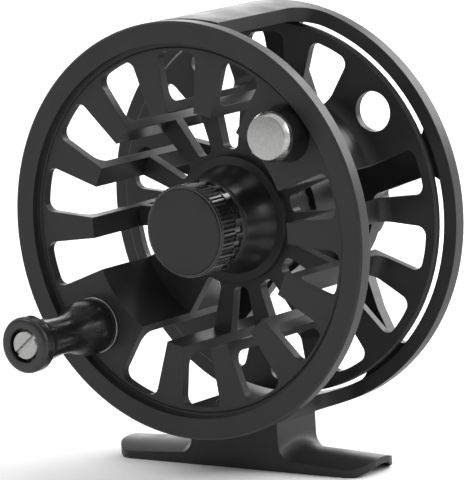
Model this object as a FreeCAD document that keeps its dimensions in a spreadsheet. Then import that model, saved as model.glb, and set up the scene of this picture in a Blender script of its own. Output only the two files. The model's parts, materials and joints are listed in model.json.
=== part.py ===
import FreeCAD, Part
import math
import os

import Sketcher

# Fly reel, large arbor, with a foot for a rod's reel seat.
# Every sub-part is drawn about the spool's axis: Y runs from the front rim to the back,
# X to the right and Z up. One shift then brings the foot's seat to the origin.

SIZES = (
    # spool
    ("rim_r", 42.5, "outer radius of the front flange"),
    ("rim_chamfer", 0.4, "edge break of the flanges"),
    ("rim_depth", 3.05, "depth of the front flange's outer band"),
    ("recess_r", 38.1, "radius of the step inside the front rim"),
    ("recess_y", 1.6, "depth of the spoke plane behind the rim face"),
    ("groove_out", 37.45, "outer radius of the fine turned groove"),
    ("groove_mid", 37.2, "middle radius of the fine turned groove"),
    ("groove_in", 36.95, "inner radius of the fine turned groove"),
    ("groove_y", 1.85, "bottom of the fine turned groove"),
    ("flange_back", 3.6, "rear face of the front flange"),
    ("flange_taper_r", 41.0, "radius where the front flange's back starts to taper"),
    ("drum_r", 26.0, "outer radius of the arbor"),
    ("drum_bore", 24.0, "inner radius of the arbor"),
    ("cove_r", 28.6, "radius where the arbor's coves meet the flanges"),
    ("cove_mid_r", 26.7, "middle radius of the coves"),
    ("front_cove_mid", 4.3, "middle of the front cove"),
    ("front_cove_end", 6.2, "end of the front cove"),
    ("rear_cove_start", 30.2, "start of the rear cove"),
    ("rear_cove_mid", 32.3, "middle of the rear cove"),
    ("rear_front", 33.0, "front face of the rear flange"),
    ("rear_back", 34.7, "rear face of the rear flange"),
    ("rear_r", 38.85, "outer radius of the rear flange"),
    ("web_front", 18.0, "front face of the web"),
    ("web_back", 20.5, "rear face of the web"),
    ("hub_r", 13.0, "outer radius of the spool's hub"),
    ("hub_front", 16.5, "front face of the spool's hub"),
    ("hub_back", 24.8, "rear face of the spool's hub"),
    ("hub_bore", 7.04, "bore of the spool's hub"),
    ("window_pitch", 25.7142857, "angle between windows"),
    ("window_in", 14.2, "inner end of a window"),
    ("window_in_half", 1.7, "half width of a window at its inner end"),
    ("window_mid", 24.0, "radius of the arbor's wall in a window"),
    ("window_mid_half", 3.3, "half width of a window at the arbor"),
    ("window_out", 35.97, "outer corners of a window"),
    ("window_crown", 36.4, "outer end of a window on its centre line"),
    ("window_out_half", 4.8, "half width of a window at its outer end"),
    ("window_fillet", 2.0, "outer corner radius of a window"),
    ("window_toe", 1.3, "inner corner radius of a window"),
    ("land_angle", 39.8, "angle of the counterweight above the right-hand side"),
    ("crank_r", 32.2, "radius of the handle's and the counterweight's centres"),
    ("balance_hole_r", 4.15, "round hole in the rear flange"),
    # handle
    ("post_r", 2.2, "handle post radius"),
    ("post_thread_r", 1.9, "handle post radius in the spool"),
    ("post_front", -20.98, "front end of the handle post"),
    ("washer_r", 5.85, "outer radius of the handle's base ring"),
    ("washer_front", 0.9, "front face of the handle's base ring"),
    ("grip_base", 0.84, "rear face of the grip"),
    ("grip_base_r", 5.4, "radius of the grip at its base"),
    ("grip_swell_r", 5.85, "largest radius of the grip near its base"),
    ("grip_swell_y", -2.8, "place of the largest radius"),
    ("grip_taper_r", 5.2, "radius of the grip past the swell"),
    ("grip_taper_y", -7.8, "place of the taper"),
    ("grip_waist_r", 3.95, "waist radius of the grip"),
    ("grip_waist_y", -13.6, "place of the waist"),
    ("grip_flare_r", 4.75, "radius where the end flare starts"),
    ("grip_flare_y", -18.3, "place where the end flare starts"),
    ("grip_end_r", 5.75, "radius of the grip's end"),
    ("grip_end", -22.6, "end face of the grip"),
    ("grip_recess_r", 3.5, "radius of the recess for the screw's head"),
    ("grip_recess_y", -20.92, "bottom of the recess"),
    ("bush_r", 3.2, "outer radius of the handle bush"),
    ("bush_bore", 2.24, "bore of the handle bush"),
    ("screw_head_r", 3.15, "radius of the handle screw's head"),
    ("screw_head_front", -22.3, "front face of the handle screw's head"),
    ("screw_shank_r", 1.1, "radius of the handle screw's shank"),
    ("screw_slot", 0.45, "half width of the screw's slot"),
    ("screw_slot_y", -21.6, "bottom of the screw's slot"),
    ("screw_tip", -16.0, "inner end of the handle screw"),
    # counterweight
    ("weight_boss_r", 5.85, "base radius of the counterweight's boss"),
    ("weight_boss_top_r", 5.1, "top radius of the counterweight's boss"),
    ("weight_boss_front", -3.4, "front of the boss"),
    ("weight_r", 5.0, "radius of the counterweight's slug"),
    ("weight_face_r", 4.4, "radius of the slug's face"),
    ("weight_bevel_y", -4.0, "start of the slug's bevel"),
    ("weight_front", -5.2, "face of the slug"),
    ("weight_shank_r", 3.0, "radius of the slug's shank"),
    # hub boss, cap
    ("boss_front", 8.2, "front face of the hub boss"),
    ("boss_front_r", 9.4, "front radius of the hub boss"),
    ("boss_back_r", 11.2, "rear radius of the hub boss"),
    ("cap_r", 9.45, "outer radius of the cap"),
    ("cap_front", -0.2, "front face of the cap plate"),
    ("cap_lip_y", 0.1, "front face of the cap's lip"),
    ("cap_plate_r", 8.7, "radius of the cap plate"),
    ("cap_plate_back", 1.0, "rear face of the cap plate"),
    ("cap_seat_r", 8.74, "radius of the cap plate's seat"),
    ("cap_knurl_back", 5.9, "rear end of the knurl"),
    ("cap_neck_r", 8.9, "radius under the castellations"),
    ("cap_back", 7.2, "rear face of the cap"),
    ("cap_bore", 6.06, "bore of the cap on the hub's nose"),
    ("cap_bore_front", 2.4, "bottom of the cap's bore"),
    ("cap_washer_r", 9.2, "outer radius of the cap washer"),
    ("cap_washer_front", 7.26, "front face of the cap washer"),
    ("cap_washer_back", 8.16, "rear face of the cap washer"),
    ("cap_washer_bore", 6.1, "bore of the cap washer"),
    # drive hub
    ("nose_r", 6.0, "radius of the drive hub's nose"),
    ("nose_front", 3.0, "front end of the nose"),
    ("drive_r", 7.0, "radius of the drive hub in the spool"),
    ("drive_step", 9.2, "end of the nose"),
    ("drive_flange_r", 10.4, "radius of the drive hub's flange"),
    ("drive_flange_front", 24.85, "front face of the drive hub's flange"),
    ("drive_flange_back", 25.9, "rear face of the drive hub's flange"),
    ("drive_back", 38.0, "rear end of the drive hub"),
    ("race_seat", 5.0, "bearing seat radius"),
    ("through_r", 4.3, "clearance bore between the bearings"),
    ("front_race_front", 3.6, "front face of the front bearing"),
    ("front_race_back", 7.6, "rear face of the front bearing"),
    ("rear_race_front", 20.8, "front face of the rear bearing"),
    ("rear_race_back", 24.8, "rear face of the rear bearing"),
    ("clutch_seat", 6.0, "seat radius of the one-way clutch"),
    ("clutch_front", 25.6, "front face of the one-way clutch"),
    ("clutch_back", 37.6, "rear face of the one-way clutch"),
    ("clutch_bore", 5.2, "inner radius of the clutch's shell"),
    ("roller_r", 0.55, "radius of a clutch roller"),
    ("roller_ring_r", 4.6, "radius of the clutch's ring of rollers"),
    # bearings
    ("race_out_in", 4.35, "inner radius of the outer races"),
    ("race_in_out", 3.15, "outer radius of the inner races"),
    ("ball_r", 0.56, "ball radius"),
    ("ball_ring_r", 3.75, "radius of the ring of balls"),
    ("spindle_r", 2.5, "spindle radius"),
    ("race_bore", 2.5, "bore of the inner races"),
    # drag
    ("rotor_bore", 2.54, "bore of the drag rotor"),
    ("rotor_r", 4.0, "outer radius of the rotor's sleeve"),
    ("rotor_front", 25.2, "front end of the rotor"),
    ("rotor_back", 42.2, "rear end of the rotor"),
    ("rotor_disc_r", 9.8, "radius of the rotor's disc"),
    ("rotor_disc_front", 39.0, "front face of the rotor's disc"),
    ("rotor_disc_back", 40.0, "rear face of the rotor's disc"),
    ("disc_r", 10.2, "outer radius of the carbon discs"),
    ("disc_bore", 4.6, "bore of the carbon discs"),
    ("disc_thick", 0.6, "thickness of a carbon disc"),
    ("disc_front", 38.36, "front face of the front carbon disc"),
    ("disc_back", 40.04, "front face of the rear carbon disc"),
    ("spring_out", 8.6, "outer radius of the disc springs"),
    ("spring_in", 5.0, "bore of the disc springs"),
    ("spring_front", 40.7, "front of the disc springs"),
    ("spring_rise", 0.25, "dish of a disc spring"),
    ("spring_thick", 0.3, "thickness of a disc spring"),
    ("plate_front", 42.3, "front face of the pressure plate"),
    ("plate_back", 43.2, "rear face of the pressure plate"),
    ("plate_r", 10.0, "outer radius of the pressure plate"),
    ("plate_bore", 4.4, "bore of the pressure plate"),
    ("pin_r", 1.0, "radius of a thrust pin"),
    ("pin_ring_r", 8.0, "radius of the ring of thrust pins"),
    ("pin_back", 47.9, "rear end of the thrust pins"),
    ("pin_hole_r", 1.06, "radius of the thrust pins' holes"),
    # housing
    ("house_r", 14.0, "outer radius of the drag housing"),
    ("house_bore", 10.4, "bore of the drag housing"),
    ("house_front", 26.8, "front face of the drag housing"),
    ("house_back", 44.0, "rear face of the drag housing"),
    ("cover_front", 27.4, "front face of the housing cover"),
    ("cover_back", 28.6, "rear face of the housing cover"),
    ("cover_bore", 9.0, "bore of the housing cover"),
    ("seal_bore", 7.46, "bore of the housing seal"),
    ("seal_drive_r", 7.4, "radius of the drive hub inside the seal"),
    ("shelf_front", 37.5, "front face of the housing's inner shelf"),
    ("shelf_bore", 8.2, "bore of the housing's inner shelf"),
    ("shelf_back", 38.34, "rear face of the housing's inner shelf"),
    # frame
    ("ring_bore", 39.55, "inner radius of the frame's ring"),
    ("ring_front", 34.7, "front face of the ring"),
    ("ring_back", 37.9, "rear face of the ring"),
    ("arm_out_r", 36.0, "radius of the outer bend of the arms"),
    ("arm_mid_r", 29.0, "radius of the middle bend of the arms"),
    ("arm_in_r", 22.5, "radius of the inner bend of the arms"),
    ("arm_out_y", 36.4, "front of the arms at the ring"),
    ("arm_bend_y", 36.7, "front of the arms at the outer bend"),
    ("arm_mid_y", 38.4, "front of the arms at the middle bend"),
    ("arm_in_y", 41.2, "front of the arms at the inner bend"),
    ("arm_hub_y", 42.4, "front of the arms at the hub"),
    ("arm_bend_back", 39.4, "back of the arms at the outer bend"),
    ("arm_mid_back", 41.2, "back of the arms at the middle bend"),
    ("arm_in_back", 44.2, "back of the arms at the inner bend"),
    ("frame_hub_r", 16.2, "radius of the frame's hub"),
    ("frame_seat_r", 14.05, "seat for the drag housing"),
    ("frame_hub_back", 46.8, "rear face of the frame's hub"),
    ("rear_boss_r", 6.5, "radius of the rear boss"),
    ("rear_boss_back", 54.1, "rear end of the rear boss"),
    ("frame_bore", 3.54, "bore of the frame for the spindle's foot"),
    ("arm_half", 3.75, "half width of an arm"),
    ("arm_hole_in", 17.6, "inner radius of the openings between arms"),
    ("arm_pitch", 72.0, "angle between the arms"),
    ("arm_fillet", 4.0, "outer corner radius of an opening"),
    ("bridge_front", 4.5, "front edge of the bridge plates"),
    ("top_bridge_angle", 21.0, "angle the top bridge covers"),
    ("foot_bridge_angle", 29.4, "angle the bottom bridge covers"),
    # spindle
    ("spindle_front", 3.3, "front end of the spindle"),
    ("spindle_root_r", 3.5, "radius of the spindle's foot"),
    ("spindle_step", 42.4, "front of the spindle's foot"),
    ("spindle_back", 52.2, "rear end of the spindle"),
    ("nut_front", 50.0, "front face of the spindle's nut"),
    ("nut_pocket_r", 5.0, "radius of the nut's pocket in the rear boss"),
    # drag knob
    ("knob_r", 13.5, "outer radius of the drag knob"),
    ("knob_bore", 6.56, "bore of the drag knob"),
    ("knob_front", 48.0, "front face of the drag knob"),
    ("knob_band", 49.0, "start of the knob's fluted band"),
    ("knob_top", 54.0, "end of the knob's fluted band"),
    ("knob_back", 55.4, "rear face of the drag knob"),
    ("knob_back_r", 12.4, "radius of the knob's rear face"),
    ("knob_recess_r", 9.4, "radius of the cover disc's seat"),
    ("knob_recess_y", 54.7, "bottom of the cover disc's seat"),
    ("cover_disc_r", 9.35, "radius of the knob's cover disc"),
    ("cover_disc_front", 54.75, "front face of the cover disc"),
    ("cover_disc_back", 56.0, "rear face of the cover disc"),
    # click
    ("click_in", 10.7, "inner radius of the click ring"),
    ("click_out", 13.0, "outer radius of the click ring"),
    ("click_front", 24.85, "front face of the click ring"),
    ("click_back", 26.4, "rear face of the click ring"),
    ("plunger_r", 0.9, "radius of the click plunger"),
    ("plunger_ring_r", 12.1, "distance of the click plunger from the axis"),
    ("plunger_back", 30.6, "rear end of the click plunger"),
    ("plunger_bore", 0.96, "bore of the click plunger"),
    ("plunger_bore_back", 34.2, "bottom of the plunger's bore"),
    # foot
    ("foot_mid_y", 20.25, "middle of the foot along the axis"),
    ("foot_half_width", 6.95, "half width of the foot"),
    ("foot_half_length", 31.5, "half length of the foot"),
    ("seat_z", -51.0, "lower edge of the foot"),
    ("foot_root_x", 10.8, "half width of the post"),
    ("root_skirt_z", -47.9, "top of the skirt at the root"),
    ("root_apex_z", -46.4, "top of the foot at the root"),
    ("tip_skirt_z", -49.7, "top of the skirt at the tip"),
    ("tip_apex_z", -47.6, "top of the foot at the tip"),
    ("saddle_half", 6.3, "half width of the saddle"),
    ("saddle_apex_z", -49.0, "top of the saddle"),
    ("tip_corner", 5.2, "corner radius of the foot's tips"),
    ("tip_margin", 0.05, "gap between the foot's sides and the outline its tips are cut to"),
    ("trim_reach", 40.0, "half length of the foot before its tips are rounded"),
    ("post_low_z", -48.9, "lower end of the post inside the foot"),
    ("scoop_r", 3.0, "fillet between the post and a wing of the foot"),
    ("post_top_z", -40.5, "top of the post before it is cut to the frame"),
    ("foot_screw_r", 1.6, "radius of the foot screws"),
    ("foot_screw_head_r", 2.8, "radius of the foot screws' heads"),
    ("foot_screw_gap", 5.5, "half the distance between the foot screws"),
    ("foot_screw_low", -46.2, "lower end of the foot screws"),
    ("foot_screw_seat", -41.2, "underside of the foot screws' heads"),
    ("foot_screw_top", -39.9, "top of the foot screws' heads"),
    # further places on the outlines
    ("boss_back", 16.46, "rear face of the hub boss"),
    ("boss_mid_r", 9.75, "middle radius of the hub boss"),
    ("boss_mid_y", 13.2, "place of the middle radius"),
    ("bearing_shoulder_r", 4.6, "bore between the rear bearing and the clutch"),
    ("drive_pin_r", 1.0, "radius of a drive pin"),
    ("drive_pin_ring_r", 8.8, "radius of the ring of drive pins"),
    ("drive_pin_front", 21.6, "front end of the drive pins"),
    ("roller_front", 26.2, "front end of the clutch's rollers"),
    ("roller_back", 37.0, "rear end of the clutch's rollers"),
    ("click_bottom", 25.85, "bottom of the click ring's notches"),
    ("notch_half", 1.3, "half width of a notch's cutter at the housing's front"),
    ("plunger_tip", 26.1, "front end of the click plunger"),
    ("plunger_tip_r", 0.25, "radius of the plunger's tip"),
    ("plunger_cone_back", 27.0, "end of the plunger's cone"),
    ("click_spring_front", 31.0, "front of the click spring"),
    ("click_spring_pitch", 0.6, "pitch of the click spring"),
    ("click_spring_r", 0.6, "mean radius of the click spring"),
    ("click_wire_r", 0.13, "radius of the click spring's wire"),
    ("weight_boss_mid_r", 5.35, "middle radius of the counterweight's boss"),
    ("weight_boss_mid_y", -0.9, "place of that radius"),
    ("grip_lip_r", 5.2, "radius halfway up the end flare"),
    ("grip_lip_y", -19.1, "place of that radius"),
    ("grip_band_y", -19.6, "front of the flare, start of the end band"),
    ("grip_end_corner", -21.8, "end of the end band"),
    ("grip_corner_r", 5.5, "radius on the grip's end corner"),
    ("grip_corner_y", -22.35, "place of that radius"),
    ("grip_face_r", 4.95, "radius of the flat end face"),
    ("cap_seat_y", 1.04, "bottom of the cap plate's seat"),
    ("cap_castle_front", 6.2, "front of the castellations"),
    ("cap_flute_front", 0.6, "front of the cap's flutes"),
    ("cap_flute_r", 9.12, "bottom of the cap's flutes"),
    ("cap_flute_half", 0.62, "half width of the flutes' cutter"),
    ("cap_notch_half", 0.8, "half width of the gaps in the castellations"),
    ("washer_clear_r", 10.0, "radius clear of the cap"),
    ("cap_plate_edge", 0.3, "edge break of the cap plate"),
    ("arm_toe", 2.5, "inner corner radius of an opening between arms"),
    ("frame_hub_edge", 45.9, "start of the hub's rear chamfer"),
    ("frame_hub_face_r", 15.2, "radius of the hub's rear face"),
    ("house_inner_back", 43.3, "inner face of the housing's rear wall"),
    ("house_screw_r", 1.0, "radius of the housing screws"),
    ("house_screw_ring_r", 12.2, "radius of the ring of housing screws"),
    ("house_screw_front", 38.6, "front end of the housing screws"),
    ("house_head_r", 1.9, "radius of the housing screws' heads"),
    ("house_head_front", 45.4, "underside of the housing screws' heads"),
    ("spindle_collar_r", 4.1, "radius of the spindle's collar"),
    ("nut_r", 4.6, "radius of the spindle nut over its corners"),
    ("nut_back", 51.9, "rear face of the spindle nut"),
    ("tool_top", -35.0, "top of the drills for the foot screws"),
    ("knob_corner_r", 13.2, "radius on the knob's rear corner"),
    ("knob_corner_y", 55.0, "place of that radius"),
    ("knob_flute_r", 1.1, "radius of the knob's flutes"),
    ("knob_flute_ring_r", 14.1, "distance of the flutes from the axis"),
    ("cover_disc_mid_r", 6.5, "radius on the cover disc's dome"),
    ("cover_disc_mid_y", 55.8, "place of that radius"),
    ("cover_disc_flat_r", 3.0, "radius of the cover disc's flat middle"),
    ("bridge_fillet", 6.0, "fillet between a bridge and the ring"),
    ("bridge_seat", 36.0, "end of a bridge inside the ring"),
)

WINDOWS_PER_SIDE = 6
KNURL_COUNT = 48
CASTLE_COUNT = 12
CLICK_TEETH = 36
ROLLER_COUNT = 10
BALL_COUNT = 9
PIN_COUNT = 3
ARM_COUNT = 5
FLUTE_COUNT = 18
PIN_START = 30.0
SCREW_START = 90.0
PLUNGER_NOTCH = 5
TOLERANCE = 0.02

doc = FreeCAD.newDocument("fly_reel")
sheet = doc.addObject("Spreadsheet::Sheet", "Dims")
for row, (alias, number, note) in enumerate(SIZES, 1):
    sheet.set("A%d" % row, alias)
    sheet.set("B%d" % row, str(number))
    sheet.set("C%d" % row, note)
    sheet.setAlias("B%d" % row, alias)
doc.recompute()

subparts = []


def size(formula):
    """Value of a number, or of a sum of sheet names such as 'rim_r - rim_chamfer'."""
    if not isinstance(formula, str):
        return float(formula)
    total = 0.0
    sign = 1
    for word in formula.split():
        if word in ("+", "-"):
            sign = 1 if word == "+" else -1
        elif word != "0":
            total += sign * sheet.get(word)
            sign = 1
    return total


def bound(formula):
    """The same sum as an expression on the sheet."""
    words = [word if word in ("+", "-", "0") else "Dims." + word for word in formula.split()]
    return " ".join(words)


def finish(item, label, turn="0", across="0"):
    """Name a sub-part, bring the foot's seat to the origin and list it for export.

    turn is the angle about the spool's axis, and across the distance of the piece's own axis from it.
    """
    angle = math.radians(size(turn))
    reach = size(across)
    base = FreeCAD.Vector(reach * math.cos(angle), 0, reach * math.sin(angle))
    base += FreeCAD.Vector(0, -size("foot_mid_y"), -size("seat_z"))
    item.Label = label
    item.Placement = FreeCAD.Placement(base, FreeCAD.Rotation(FreeCAD.Vector(0, 1, 0), -size(turn)))
    item.setExpression(".Placement.Base.y", "-Dims.foot_mid_y")
    if across == "0":
        item.setExpression(".Placement.Base.z", "-Dims.seat_z")
    subparts.append(item)
    return item


def new_body(label):
    return doc.addObject("PartDesign::Body", "Body_" + label)


def datum(body, role):
    return [item for item in body.Origin.OriginFeatures if item.Role == role][0]


def new_sketch(body, name, role, offset="0", turn=0.0):
    """Sketch on one of the body's own planes, moved along its normal by a sheet formula."""
    sketch = body.newObject("Sketcher::SketchObject", name)
    sketch.AttachmentSupport = [(datum(body, role), "")]
    sketch.MapMode = "FlatFace"
    start = FreeCAD.Vector(0, 0, size(offset))
    sketch.AttachmentOffset = FreeCAD.Placement(start, FreeCAD.Rotation(FreeCAD.Vector(0, 0, 1), turn))
    if offset != "0":
        sketch.setExpression(".AttachmentOffset.Base.z", bound(offset))
    return sketch


def pin_point(sketch, edge, end, corner):
    """Bind one end of an edge to a pair of sheet formulas."""
    for kind, formula in (("DistanceX", corner[0]), ("DistanceY", corner[1])):
        index = sketch.addConstraint(Sketcher.Constraint(kind, -1, 1, edge, end, size(formula)))
        if isinstance(formula, str) and formula != "0":
            sketch.setExpression("Constraints[%d]" % index, bound(formula))


def outline(sketch, corners):
    """Closed outline through corners given as pairs of sheet formulas.

    A corner with four entries starts an arc, which passes through the point that the last two give.
    """
    points = [FreeCAD.Vector(size(corner[0]), size(corner[1]), 0) for corner in corners]
    count = len(points)
    first = sketch.GeometryCount
    starts = []
    ends = []
    for index, corner in enumerate(corners):
        here = points[index]
        there = points[(index + 1) % count]
        forward = True
        if len(corner) == 2:
            edge = Part.LineSegment(here, there)
        else:
            middle = FreeCAD.Vector(size(corner[2]), size(corner[3]), 0)
            forward = (middle - here).cross(there - middle).z > 0
            edge = Part.ArcOfCircle(here, middle, there) if forward else Part.ArcOfCircle(there, middle, here)
        sketch.addGeometry(edge, False)
        starts.append(1 if forward else 2)
        ends.append(2 if forward else 1)
    for index, corner in enumerate(corners):
        following = (index + 1) % count
        joint = ("Coincident", first + index, ends[index], first + following, starts[following])
        sketch.addConstraint(Sketcher.Constraint(*joint))
    for index, corner in enumerate(corners):
        pin_point(sketch, first + index, starts[index], corner[:2])
        if len(corner) == 4:
            middle = FreeCAD.Vector(size(corner[2]), size(corner[3]), 0)
            mark = sketch.addGeometry(Part.Point(middle), True)
            sketch.addConstraint(Sketcher.Constraint("PointOnObject", mark, 1, first + index))
            pin_point(sketch, mark, 1, corner[2:])
    return sketch


def disc(sketch, radius, across="0", along="0"):
    """Circle whose radius and centre are bound to the sheet."""
    centre = FreeCAD.Vector(size(across), size(along), 0)
    edge = sketch.addGeometry(Part.Circle(centre, FreeCAD.Vector(0, 0, 1), size(radius)), False)
    index = sketch.addConstraint(Sketcher.Constraint("Radius", edge, size(radius)))
    sketch.setExpression("Constraints[%d]" % index, bound(radius))
    pin_point(sketch, edge, 3, (across, along))
    return sketch


def revolve(body, name, corners):
    """Turn an outline of (radius, place along the axis) about the Y axis."""
    sketch = outline(new_sketch(body, name + "_outline", "XY_Plane"), corners)
    feature = body.newObject("PartDesign::Revolution", name)
    feature.Profile = sketch
    feature.ReferenceAxis = (datum(body, "Y_Axis"), [""])
    feature.Angle = 360
    doc.recompute()
    return feature


def sector(body, name, corners, angle):
    """Turn an outline drawn on the YZ plane about Y, evenly to both sides."""
    sketch = outline(new_sketch(body, name + "_outline", "YZ_Plane"), corners)
    feature = body.newObject("PartDesign::Revolution", name)
    feature.Profile = sketch
    feature.ReferenceAxis = (datum(body, "Y_Axis"), [""])
    feature.setExpression("Angle", bound(angle))
    feature.Midplane = True
    doc.recompute()
    return feature


def pocket(body, name, sketch, depth, back=False):
    """Cut from a sketch; on the XZ plane that is towards the back of the reel."""
    before = body.Shape.Volume
    feature = body.newObject("PartDesign::Pocket", name)
    feature.Profile = sketch
    feature.setExpression("Length", bound(depth))
    feature.Reversed = back
    doc.recompute()
    if body.Shape.Volume >= before:
        raise RuntimeError(name + " cuts nothing")
    return feature


def pad(body, name, sketch, depth):
    """Raise a sketch on the XZ plane towards the back of the reel."""
    feature = body.newObject("PartDesign::Pad", name)
    feature.Profile = sketch
    feature.setExpression("Length", bound(depth))
    feature.Reversed = True
    doc.recompute()
    return feature


def pattern(body, name, feature, count, angle=360.0):
    """Repeat a feature about the Y axis, from X towards Z; angle is what the whole set covers."""
    ring = body.newObject("PartDesign::PolarPattern", name)
    ring.Originals = [feature]
    ring.Axis = (datum(body, "Y_Axis"), [""])
    ring.Angle = angle
    ring.Occurrences = count
    ring.Reversed = True
    body.Tip = ring
    doc.recompute()
    return ring


def round_edges(body, name, radius, chosen):
    """Fillet the edges of the body's tip that the test picks."""
    tip = body.Tip
    names = ["Edge%d" % number for number, edge in enumerate(tip.Shape.Edges, 1) if chosen(edge)]
    feature = body.newObject("PartDesign::Fillet", name)
    feature.Base = (tip, names)
    feature.setExpression("Radius", bound(radius))
    body.Tip = feature
    doc.recompute()
    return feature


def axial_at(across, up):
    """Test for straight edges along Y as far from the axis as the given corner."""
    radius = math.hypot(size(across), size(up))

    def chosen(edge):
        if edge.Curve.TypeId != "Part::GeomLine":
            return False
        start = edge.Vertexes[0].Point
        end = edge.Vertexes[-1].Point
        along = math.hypot(start.x - end.x, start.z - end.z) < TOLERANCE
        return along and abs(math.hypot(start.x, start.z) - radius) < TOLERANCE
    return chosen


def radial_on(place, radius):
    """Test for straight edges square to the axis at one place along it, outside a radius."""
    def chosen(edge):
        if edge.Curve.TypeId != "Part::GeomLine":
            return False
        ends = [vertex.Point for vertex in edge.Vertexes]
        level = all(abs(end.y - size(place)) < TOLERANCE for end in ends)
        return level and all(math.hypot(end.x, end.z) > size(radius) - TOLERANCE for end in ends)
    return chosen


def turned_body(name, corners):
    body = new_body(name)
    revolve(body, name + "_turned", corners)
    return body


def turned(label, corners, turn="0", across="0"):
    """Sub-part that is a single turned shape."""
    return finish(turned_body(label, corners), label, turn, across)


def tube(inner, outer, front, back):
    """Outline of a plain ring."""
    return [(inner, front), (outer, front), (outer, back), (inner, back)]


def rod(name, radius, front, back, place=(0.0, 0.0)):
    """Cylinder along Y between two places given as sheet formulas."""
    item = doc.addObject("Part::Cylinder", name)
    item.setExpression("Radius", bound(radius))
    item.setExpression("Height", "%s - (%s)" % (bound(back), bound(front)))
    base = FreeCAD.Vector(place[0], size(front), place[1])
    item.Placement = FreeCAD.Placement(base, FreeCAD.Rotation(FreeCAD.Vector(1, 0, 0), -90))
    item.setExpression(".Placement.Base.y", bound(front))
    return item


def stud(name, radius, low, top, across):
    """Cylinder along Z through the foot, at a given distance from its middle."""
    item = doc.addObject("Part::Cylinder", name)
    item.setExpression("Radius", bound(radius))
    item.setExpression("Height", "%s - (%s)" % (bound(top), bound(low)))
    item.Placement.Base = FreeCAD.Vector(across, size("foot_mid_y"), size(low))
    item.setExpression(".Placement.Base.z", bound(low))
    item.setExpression(".Placement.Base.y", "Dims.foot_mid_y")
    return item


def joined(kind, name, items):
    """Part::MultiFuse or Part::Compound of several shapes."""
    group = doc.addObject(kind, name)
    setattr(group, "Links" if kind == "Part::Compound" else "Shapes", items)
    return group


def cut(name, base, tools):
    result = doc.addObject("Part::Cut", name)
    result.Base = base
    result.Tool = joined("Part::MultiFuse", name + "_tools", tools) if len(tools) > 1 else tools[0]
    return result


def around(radius, count, start=0.0):
    """Points evenly spaced on a circle about the axis."""
    angles = [math.radians(start + 360.0 * index / count) for index in range(count)]
    return [(radius * math.cos(angle), radius * math.sin(angle)) for angle in angles]


def rods(name, radius, front, back, places):
    return [rod("%s_%d" % (name, index), radius, front, back, place) for index, place in enumerate(places)]


# Spool and what turns with it

def window_set(body, name, first):
    """Six neighbouring windows through both flanges, the arbor and the web."""
    pitch = size("window_pitch")
    sketch = new_sketch(body, name + "_outline", "XZ_Plane", "0", pitch * first)
    outline(sketch, [
        ("window_in", "0 - window_in_half"),
        ("window_mid", "0 - window_mid_half"),
        ("window_out", "0 - window_out_half", "window_crown", "0"),
        ("window_out", "window_out_half"),
        ("window_mid", "window_mid_half"),
        ("window_in", "window_in_half"),
    ])
    window = pocket(body, name, sketch, "ring_back")
    pattern(body, name + "s", window, WINDOWS_PER_SIDE, pitch * (WINDOWS_PER_SIDE - 1))


def spool_outline():
    return [
        ("hub_bore", "hub_front"),
        ("hub_r", "hub_front"),
        ("hub_r", "web_front"),
        ("drum_bore", "web_front"),
        ("drum_bore", "recess_y"),
        ("groove_in", "recess_y"),
        ("groove_mid", "groove_y"),
        ("groove_out", "recess_y"),
        ("recess_r", "recess_y"),
        ("recess_r", "0"),
        ("rim_r - rim_chamfer", "0"),
        ("rim_r", "rim_chamfer"),
        ("rim_r", "rim_depth"),
        ("flange_taper_r", "flange_back"),
        ("cove_r", "flange_back", "cove_mid_r", "front_cove_mid"),
        ("drum_r", "front_cove_end"),
        ("drum_r", "rear_cove_start", "cove_mid_r", "rear_cove_mid"),
        ("cove_r", "rear_front"),
        ("rear_r - rim_chamfer", "rear_front"),
        ("rear_r", "rear_front + rim_chamfer"),
        ("rear_r", "rear_back - rim_chamfer"),
        ("rear_r - rim_chamfer", "rear_back"),
        ("drum_bore", "rear_back"),
        ("drum_bore", "web_back"),
        ("hub_r", "web_back"),
        ("hub_r", "hub_back"),
        ("hub_bore", "hub_back"),
    ]


def spool():
    body = turned_body("spool", spool_outline())
    window_set(body, "window", 1)
    window_set(body, "far_window", 2 + WINDOWS_PER_SIDE)
    outer = axial_at("window_out", "window_out_half")
    round_edges(body, "window_corners", "window_fillet", outer)
    inner = axial_at("window_in", "window_in_half")
    round_edges(body, "window_toes", "window_toe", inner)
    holes = new_sketch(body, "crank_holes_outline", "XZ_Plane")
    disc(holes, "post_thread_r", "0 - crank_r")
    disc(holes, "weight_shank_r", "crank_r")
    pocket(body, "crank_holes", holes, "front_cove_end")
    sight = new_sketch(body, "balance_hole_outline", "XZ_Plane", "0 - rear_cove_start")
    disc(sight, "balance_hole_r", "crank_r")
    pocket(body, "balance_hole", sight, "front_cove_end")
    dowel = new_sketch(body, "drive_pin_outline", "XZ_Plane", "0 - drive_pin_front")
    disc(dowel, "drive_pin_r", "drive_pin_ring_r")
    pattern(body, "drive_pin_holes", pocket(body, "drive_pin_hole", dowel, "front_cove_end"), PIN_COUNT)
    finish(body, "spool", "land_angle")


def hub_boss():
    turned("hub_boss", [
        ("hub_bore", "boss_front"),
        ("boss_front_r - rim_chamfer", "boss_front"),
        ("boss_front_r", "boss_front + rim_chamfer", "boss_mid_r", "boss_mid_y"),
        ("boss_back_r", "boss_back"),
        ("hub_bore", "boss_back"),
    ])


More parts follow.
